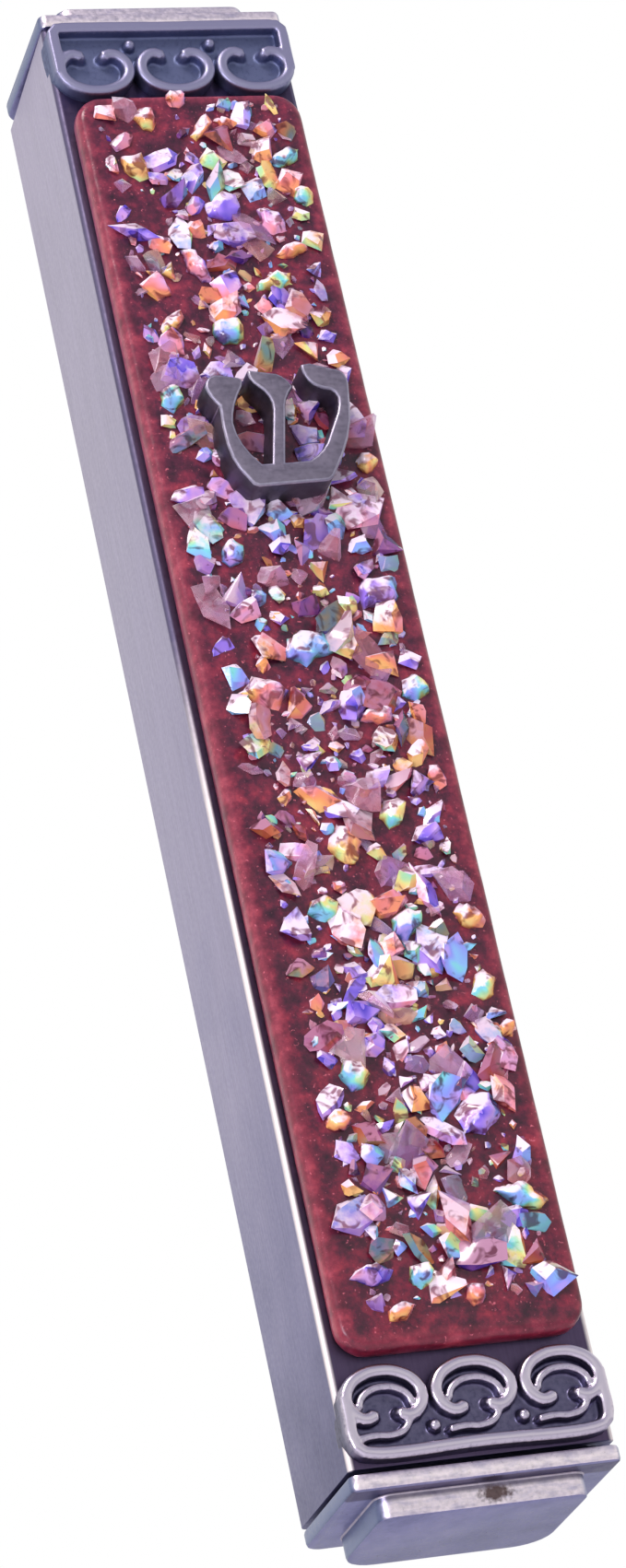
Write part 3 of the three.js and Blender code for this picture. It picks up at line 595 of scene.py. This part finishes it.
def solidMesh(make, placing, **sizes):
    solid = bmesh.new()
    make(solid, **sizes)
    solid.transform(placing)
    return meshFrom("solid", solid)


def joinedMesh(name, parts, placing):
    whole = bmesh.new()
    for mesh in parts:
        mesh.transform(placing)
        whole.from_mesh(mesh)
    bmesh.ops.recalc_face_normals(whole, faces=whole.faces)
    return meshFrom(name, whole)


def ornament(name, look, metal, tree):
    c = casting
    path = [(-u, v) for u, v in reversed(halfScroll[1:])] + halfScroll
    shared = {"Height": c["height"] * mm, "Rounding": c["round"] * mm, "Pitch": c["pitch"] * mm,
              "Steps": c["steps"], "Count": 3, "Metal": metal}
    scrolls = treeMesh(splineObject("scrollPath", [path]), tree,
                       {**shared, "Width": c["band"] * mm, "Knob Radius": c["knob"] * mm})
    edgeU = c["side"] - c["border"] / 2
    edgeV = c["toEdge"] - c["border"] / 2
    corner = look["corner"]
    border = [(-edgeU, -0.2), (-edgeU, 1.2), (-edgeU, edgeV - corner),
              (-edgeU + 0.29 * corner, edgeV - 0.29 * corner), (-edgeU + corner, edgeV), (0, edgeV)]
    border += [(-u, v) for u, v in reversed(border[:-1])]
    parts = [scrolls, treeMesh(splineObject("borderPath", [border]), tree,
                               {**shared, "Width": c["border"] * mm, "Knob Radius": c["borderKnob"] * mm,
                                "Rounding": look["borderRound"] * mm, "Count": 1})]
    if look["beaded"]:
        bead = {**shared, "Height": c["beadHeight"] * mm, "Rounding": c["beadRound"] * mm,
                "Width": c["bead"] * mm, "Knob Radius": c["bead"] / 2 * mm}
        parts.append(treeMesh(splineObject("beadPath", [innerArc, leafArc]), tree, bead))
    reachU, reachV = c["disc"]
    for turn in (-1, 0, 1):
        place = Matrix.Translation((turn * c["pitch"] * mm, 0, c["floor"] / 2 * mm))
        parts.append(solidMesh(bmesh.ops.create_cone,
                               place @ Matrix.Diagonal((reachU * mm, reachV * mm, c["floor"] * mm, 1)),
                               cap_ends=True, segments=40, radius1=1, radius2=1, depth=1))
    plate = Matrix.Translation((0, edgeV / 2 * mm, c["floor"] / 2 * mm))
    parts.append(solidMesh(bmesh.ops.create_cube,
                           plate @ Matrix.Diagonal((2 * edgeU * mm, edgeV * mm, c["floor"] * mm, 1)), size=1))
    for between in (-0.5, 0.5):
        place = Matrix.Translation((between * c["pitch"] * mm, (edgeV - c["dotInset"]) * mm,
                                    c["dotHeight"] / 2 * mm))
        parts.append(solidMesh(bmesh.ops.create_uvsphere,
                               place @ Matrix.Diagonal((1, 1, c["dotStretch"], 1)),
                               u_segments=20, v_segments=12, radius=c["dot"] * mm))
    low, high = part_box(look["node"])
    side = look["side"]
    outerZ = high.z if side > 0 else low.z
    middleZ = outerZ - side * c["toEdge"] * mm
    toFront = Matrix(((1, 0, 0, 0), (0, 0, -1, high.y), (0, side, 0, middleZ), (0, 0, 0, 1)))
    piece = objectFrom(name, joinedMesh(name, parts, toFront), [metal])
    fuse = piece.modifiers.new("fuse", "REMESH")
    fuse.mode = "VOXEL"
    fuse.voxel_size = c["voxel"] * mm
    ease = piece.modifiers.new("ease", "SMOOTH")
    ease.iterations = c["ease"]
    piece.data = bakedMesh(piece)
    piece.data.shade_smooth()
    finishPiece(piece, "case", "ornament_metal", look["node"])


ornamentLow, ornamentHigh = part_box("upper_ornament")
ridges = ridgeTree()
# one casting in two looks: the lower ornament's pale ridge tones are painted highlight, and the upper one's
# darker, flatter tones are painted shade
looks = {"upperOrnament": {"node": "upper_ornament", "side": 1, "beaded": False, "corner": 0.3, "satin": 0.48,
                           "borderRound": 0.14, "tones": ("#575c7c", "#6d7595", "#787b9b", "#9c9ab5")},
         "lowerOrnament": {"node": "lower_ornament", "side": -1, "beaded": True, "corner": 1.1, "satin": 0.32,
                           "borderRound": 0.32, "tones": ("#45435a", "#625f78", "#857e94", "#cdc4d0")}}
for name, look in looks.items():
    finish = antiqueCasting(name + "Casting", ornamentHigh.y - 0.2 * mm, ornamentLow.y, look["tones"],
                            look["satin"])
    ornament(name, look, finish, ridges)
print("ornaments done")


# resin slab: remeshed fine so that its face and rim can be a little uneven

resin = {"voxel": 0.3, "ease": 6, "wave": 0.09, "waveSpan": 5.0, "ripple": 0.03, "rippleSpan": 1.1,
         "backing": 0.6}
slabLow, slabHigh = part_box("resin_inlay")


def resinSlab():
    piece = objectFrom("resinSlab", meshFrom("resinSlab", mergedCopy("resin_inlay")),
                       [burgundyResin(slabLow, slabHigh)])
    remesh = piece.modifiers.new("fine", "REMESH")
    remesh.mode = "VOXEL"
    remesh.voxel_size = resin["voxel"] * mm
    smooth = piece.modifiers.new("ease", "SMOOTH")
    smooth.iterations = resin["ease"]
    piece.data = bakedMesh(piece)
    for vertex in piece.data.vertices:
        wave = noise.noise(vertex.co / (resin["waveSpan"] * mm)) * resin["wave"]
        ripple = noise.noise(vertex.co / (resin["rippleSpan"] * mm)) * resin["ripple"]
        if vertex.co.y < slabHigh.y - resin["backing"] * mm:  # the back stays flat on the tube
            vertex.co.y += (wave + ripple) * mm
    piece.data.shade_smooth()
    finishPiece(piece, "case", "burgundy_resin", "resin_inlay")


resinSlab()
print("resin done")


# opal: the large flakes stand where the CAD has them, and smaller chips are scattered between

flakes = {"break": 0.1, "grain": 0.9, "cuts": 2, "crease": 38, "seed": 5}
# margins round the scattered patch, clumps in millimetres, the blocks' sides, top and height, how far
# their corners and tilt stray, and the two sizes of chip
chips = {"leftTop": 1.6, "leftBottom": 3.0, "right": 1.75, "top": 1.2, "bottom": 3.1, "clump": 4.5,
         "blocks": ((4, 0.75, 0.45), (5, 0.6, 0.5), (6, 0.8, 0.35), (3, 0.7, 0.45),
                    (7, 0.8, 0.4), (5, 0.85, 0.3), (6, 0.5, 0.6), (4, 0.55, 0.5)),
         "stray": ((-0.32, -0.32, -0.06), (0.32, 0.32, 0.08)), "tilt": 0.45, "mostlySmall": 1.3,
         "narrowest": (0.7, 0.4, 0.5), "widest": (1.2, 0.9, 1.0),
         "plates": {"spacing": 1.4, "density": 4.0, "small": 0.85, "large": 2.1, "gap": 0.34,
                    "clearance": 0.6, "seed": 7},
         "crumbs": {"spacing": 0.85, "density": 4.0, "small": 0.22, "large": 0.7, "gap": 0.4,
                    "clearance": 0.2, "seed": 31}}


def brokenFlake(node):
    number, tone = node.split("_")[1:]
    flake = mergedCopy(node, 2)
    bmesh.ops.triangulate(flake, faces=flake.faces)
    bmesh.ops.subdivide_edges(flake, edges=flake.edges, cuts=flakes["cuts"])
    bmesh.ops.triangulate(flake, faces=flake.faces)
    low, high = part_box(node)
    size = max(high - low)
    for vertex in flake.verts:
        shift = noise.noise_vector(vertex.co / (flakes["grain"] * mm) + Vector((int(number), 0, 0)))
        if vertex.co.y > high.y - 0.02 * mm:
            shift.y = 0  # stays bedded in the resin
        vertex.co += shift * flakes["break"] * size
    bmesh.ops.recalc_face_normals(flake, faces=flake.faces)
    mesh = meshFrom(node, flake)
    smoothByAngle(mesh, flakes["crease"])
    name = tone + "Opal"
    material = bpy.data.materials.get(name) or opal(name, flakeTones[tone])
    finishPiece(objectFrom("opalFlake" + number, mesh, [material]), "case", "opal_" + tone, node)
    return mesh


def chipTree():
    tree, given = newTree("opalChips", ["Spacing", "Density", "Smallest", "Largest", "Gap", "Clearance"],
                          [("Seed", "Int"), ("Flakes", "Object"), ("Opal", "Material")])
    points = addNode(tree, "GeometryNodeDistributePointsOnFaces",
                     {"Mesh": given["Geometry"], "Distance Min": given["Spacing"],
                      "Density Max": given["Density"], "Seed": given["Seed"]}, distribute_method="POISSON")
    clump = addNode(tree, "ShaderNodeTexNoise", {"Scale": 1 / (chips["clump"] * mm), "Detail": 1.0})
    bare = addNode(tree, "FunctionNodeCompare", {0: clump, 1: given["Gap"]}, operation="LESS_THAN")
    flakeMesh = addNode(tree, "GeometryNodeObjectInfo", {"Object": given["Flakes"]})
    reach = addNode(tree, "GeometryNodeProximity", {0: flakeMesh.outputs["Geometry"]}, target_element="FACES")
    covered = addNode(tree, "FunctionNodeCompare",
                      {0: reach.outputs["Distance"], 1: given["Clearance"]}, operation="LESS_THAN")
    dropped = addNode(tree, "FunctionNodeBooleanMath", {0: bare, 1: covered}, operation="OR")
    kept = addNode(tree, "GeometryNodeDeleteGeometry",
                   {"Geometry": points, "Selection": dropped}, domain="POINT")
    shapes = addNode(tree, "GeometryNodeJoinGeometry")
    for n, (sides, top, tall) in enumerate(chips["blocks"]):
        block = addNode(tree, "GeometryNodeMeshCone",
                        {"Vertices": sides, "Radius Top": top, "Radius Bottom": 1.0, "Depth": tall})
        split = addNode(tree, "GeometryNodeTriangulate", {"Mesh": block})
        shake = addNode(tree, "FunctionNodeRandomValue",
                        {0: chips["stray"][0], 1: chips["stray"][1], "Seed": 90 + n},
                        data_type="FLOAT_VECTOR")
        broken = addNode(tree, "GeometryNodeSetPosition", {"Geometry": split, "Offset": shake})
        one = addNode(tree, "GeometryNodeGeometryToInstance", {0: broken})
        tree.links.new(one.outputs[0], shapes.inputs[0])
    tilt = chips["tilt"]
    turn = addNode(tree, "FunctionNodeRandomValue",
                   {0: (-tilt, -tilt, 0.0), 1: (tilt, tilt, 2 * math.pi), "Seed": given["Seed"]},
                   data_type="FLOAT_VECTOR")
    rotation = addNode(tree, "FunctionNodeEulerToRotation", {0: turn})
    up = addNode(tree, "FunctionNodeAxisAngleToRotation", {"Axis": (1.0, 0.0, 0.0), "Angle": math.pi / 2})
    facing = addNode(tree, "FunctionNodeRotateRotation",
                     {"Rotation": up, "Rotate By": rotation}, rotation_space="LOCAL")
    seeds = [addNode(tree, "ShaderNodeMath", {0: given["Seed"], 1: step}, operation="ADD").outputs[0]
             for step in (1.0, 2.0, 3.0, 4.0)]
    bulk = addNode(tree, "FunctionNodeRandomValue", {"Seed": seeds[0]}, data_type="FLOAT")
    skew = addNode(tree, "ShaderNodeMath", {0: bulk.outputs[1], 1: chips["mostlySmall"]}, operation="POWER")
    size = addNode(tree, "ShaderNodeMapRange",
                   {"Value": skew, "To Min": given["Smallest"], "To Max": given["Largest"]})
    squash = addNode(tree, "FunctionNodeRandomValue",
                     {0: chips["narrowest"], 1: chips["widest"], "Seed": seeds[1]},
                     data_type="FLOAT_VECTOR")
    scale = addNode(tree, "ShaderNodeVectorMath", {0: squash, 3: size}, operation="SCALE")
    which = addNode(tree, "FunctionNodeRandomValue",
                    {4: 0, 5: len(chips["blocks"]) - 1, "Seed": seeds[2]}, data_type="INT")
    picked = addNode(tree, "GeometryNodeInstanceOnPoints",
                     {"Points": kept, "Instance": shapes, "Pick Instance": True,
                      "Instance Index": which.outputs[2], "Rotation": facing,
                      "Scale": scale})
    hue = addNode(tree, "FunctionNodeRandomValue", {"Seed": seeds[3]}, data_type="FLOAT")
    toned = addNode(tree, "GeometryNodeStoreNamedAttribute",
                    {"Geometry": picked, "Name": "tone", "Value": hue.outputs[1]},
                    data_type="FLOAT", domain="INSTANCE")
    clearness = addNode(tree, "FunctionNodeRandomValue", {"Seed": given["Seed"]}, data_type="FLOAT")
    cleared = addNode(tree, "GeometryNodeStoreNamedAttribute",
                      {"Geometry": toned, "Name": "clear", "Value": clearness.outputs[1]},
                      data_type="FLOAT", domain="INSTANCE")
    real = addNode(tree, "GeometryNodeRealizeInstances", {0: cleared})
    flat = addNode(tree, "GeometryNodeSetMaterial", {"Geometry": real, "Material": given["Opal"]})
    addNode(tree, "NodeGroupOutput", {0: flat})
    return tree


def chipField(name, kind, tree, material, guard):
    size = chips[kind]
    leftTop = slabLow.x + chips["leftTop"] * mm
    leftBottom = slabLow.x + chips["leftBottom"] * mm
    right = slabHigh.x - chips["right"] * mm
    bottom = slabLow.z + chips["bottom"] * mm
    top = slabHigh.z - chips["top"] * mm
    corners = [(leftBottom, bottom), (right, bottom), (right, top), (leftTop, top)]
    patch = bpy.data.meshes.new(name)
    patch.from_pydata([(x, slabLow.y, z) for x, z in corners], [], [(0, 1, 2, 3)])
    mesh = treeMesh(objectFrom(name, patch), tree,
                    {"Spacing": size["spacing"] * mm, "Density": size["density"] / mm ** 2,
                     "Smallest": size["small"] * mm, "Largest": size["large"] * mm, "Gap": size["gap"],
                     "Clearance": size["clearance"] * mm, "Seed": size["seed"], "Flakes": guard,
                     "Opal": material})
    smoothByAngle(mesh, flakes["crease"])
    finishPiece(objectFrom(name, mesh, [material]), "case", "opal_sky")
    print(name, "faces:", len(mesh.polygons))


noise.seed_set(flakes["seed"])  # noise_vector takes its offset from the seed
flakeMeshes = [brokenFlake(nodeName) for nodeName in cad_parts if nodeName.startswith("flake_")]
flakeGuard = objectFrom("flakeGuard", joinedMesh("flakeGuard", flakeMeshes, Matrix()))
chipNodes = chipTree()
chipOpal = opal("crushedOpal")
chipField("opalPlates", "plates", chipNodes, chipOpal, flakeGuard)
chipField("opalCrumbs", "crumbs", chipNodes, chipOpal, flakeGuard)
bpy.data.objects.remove(flakeGuard)
print("opal done")


# parchment and film inside

inside = {"turns": 4.2, "inner": 1.5, "outer": 4.0, "sheet": 0.25, "steps": 56, "levels": 14,
          "wander": 0.06, "wanderSpan": 20, "crease": 40}


def parchmentRoll():
    low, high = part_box("parchment")
    filmLow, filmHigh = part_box("scroll_wrap")
    middle = (filmLow + filmHigh) / 2
    total = int(inside["turns"] * inside["steps"])
    roll = bmesh.new()
    rows = []
    for j in range(inside["levels"] + 1):
        z = low.z + (high.z - low.z) * j / inside["levels"]
        row = []
        for side in (0, 1):
            for i in range(total + 1):
                angle = 2 * math.pi * i / inside["steps"]
                radius = inside["inner"] + (inside["outer"] - inside["sheet"] - inside["inner"]) * i / total
                sway = noise.noise(Vector((angle, z / (inside["wanderSpan"] * mm), 0)))
                radius += inside["wander"] * sway + side * inside["sheet"]
                row.append(roll.verts.new((middle.x + radius * mm * math.cos(angle),
                                           middle.y + radius * mm * math.sin(angle), z)))
        rows.append(row)
    span = total + 1
    ring = list(range(span)) + [span + i for i in reversed(range(span))]
    for below, above in zip(rows, rows[1:]):
        for a, b in zip(ring, ring[1:] + ring[:1]):
            roll.faces.new((below[a], below[b], above[b], above[a]))
    for row in (rows[0], rows[-1]):
        for i in range(total):
            roll.faces.new((row[i], row[i + 1], row[span + i + 1], row[span + i]))
    bmesh.ops.recalc_face_normals(roll, faces=roll.faces)
    mesh = meshFrom("parchmentRoll", roll)
    smoothByAngle(mesh, inside["crease"])
    finishPiece(objectFrom("parchmentRoll", mesh, [scrapedParchment()]), "scroll", "parchment", "parchment")


parchmentRoll()
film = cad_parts["scroll_wrap"]
film.data.materials.clear()
film.data.materials.append(clearFilm())
print("inside done")


# camera, light and floor

# angles in degrees, and distances from the frame's origin in millimetres
camera = {"lens": 110.9, "azimuth": -20.48, "elevation": -23.78, "roll": -12.6, "distance": 354.3,
          "aim": (-1.6, -14.5, -7.6)}
floor = {"reach": 30000, "height": -450, "cloud": 333, "tones": ("#e4e4e8", "#ebebee")}
softboxes = {"keySoftbox": {"place": (-450, -700, 950), "aim": (0, 0, 0), "size": (420, 320), "power": 9,
                            "colour": "#fff4f2"},
             "lowFill": {"place": (-700, -550, -100), "aim": (0, 0, -30), "size": (250, 250), "power": 3,
                         "colour": "#f2eeff"}}
sky = {"walls": "#ffffff", "ceiling": "#a6a6be", "front": (-0.15, -0.7), "rise": (0.16, 0.55),
       "overhead": (0.62, 0.85)}


def addCamera():
    turn = math.radians(camera["azimuth"])
    tilt = math.radians(camera["elevation"])
    roll = math.radians(camera["roll"])
    back = Vector((math.sin(turn) * math.cos(tilt), -math.cos(turn) * math.cos(tilt), math.sin(tilt)))
    level = Vector((math.cos(turn), math.sin(turn), 0))
    upright = back.cross(level)
    right = level * math.cos(roll) + upright * math.sin(roll)
    up = back.cross(right)
    data = bpy.data.cameras.new("studioCamera")
    data.lens = camera["lens"]
    data.clip_start = 0.01
    made = objectFrom("studioCamera", data)
    place = Matrix((right, up, back)).transposed().to_4x4()
    place.translation = Vector(camera["aim"]) * mm + back * camera["distance"] * mm
    made.matrix_world = place
    bpy.context.scene.camera = made


def addSoftbox(name, box):
    data = bpy.data.lights.new(name, "AREA")
    data.shape = "RECTANGLE"
    data.size, data.size_y = [side * mm for side in box["size"]]
    data.energy = box["power"]
    data.color = linear(box["colour"])[:3]
    made = objectFrom(name, data)
    made.location = Vector(box["place"]) * mm
    away = Vector(box["aim"]) - Vector(box["place"])
    made.rotation_euler = away.to_track_quat("-Z", "Y").to_euler()


# Matt paper sweep, near white.
def addFloor():
    reach = floor["reach"] * mm
    corners = [(-reach, -reach), (reach, -reach), (reach, reach), (-reach, reach)]
    mesh = bpy.data.meshes.new("studioFloor")
    mesh.from_pydata([(x, y, floor["height"] * mm) for x, y in corners], [], [(0, 1, 2, 3)])
    material, tree, coordinates = newMaterial("paleFloor")
    cloud = addNode(tree, "ShaderNodeTexNoise",
                    {"Vector": coordinates, "Scale": 1 / (floor["cloud"] * mm), "Detail": 2.0})
    colour = addNode(tree, "ShaderNodeValToRGB", {"Fac": cloud}, list(zip((0.3, 0.7), floor["tones"])))
    shader = addNode(tree, "ShaderNodeBsdfPrincipled", {"Base Color": colour, "Roughness": 0.9})
    addNode(tree, "ShaderNodeOutputMaterial", {"Surface": shader})
    objectFrom("studioFloor", mesh, [material])


def addWorld():
    # white all round, except a darker ceiling overhead and in front, which the metal mirrors
    world = bpy.data.worlds.new("studioWorld")
    world.use_nodes = True
    tree = world.node_tree
    tree.nodes.clear()
    way = addNode(tree, "ShaderNodeTexCoord").outputs["Generated"]
    way = addNode(tree, "ShaderNodeSeparateXYZ", {"Vector": way})
    ahead, above, overhead = [
        addNode(tree, "ShaderNodeMapRange",
                {"Value": way.outputs[axis], "From Min": sky[key][0], "From Max": sky[key][1]})
        for axis, key in (("Y", "front"), ("Z", "rise"), ("Z", "overhead"))]
    front = addNode(tree, "ShaderNodeMath", {0: ahead, 1: above}, operation="MULTIPLY")
    dark = addNode(tree, "ShaderNodeMath", {0: front, 1: overhead}, operation="MAXIMUM")
    colour = addNode(tree, "ShaderNodeMix", {0: dark, 6: linear(sky["walls"]), 7: linear(sky["ceiling"])},
                     data_type="RGBA")
    background = addNode(tree, "ShaderNodeBackground", {"Color": colour.outputs[2], "Strength": 1.0})
    addNode(tree, "ShaderNodeOutputWorld", {"Surface": background})
    bpy.context.scene.world = world


addCamera()
addWorld()
addFloor()
for name, box in softboxes.items():
    addSoftbox(name, box)
bpy.context.scene.view_settings.view_transform = "Standard"
print("studio done")
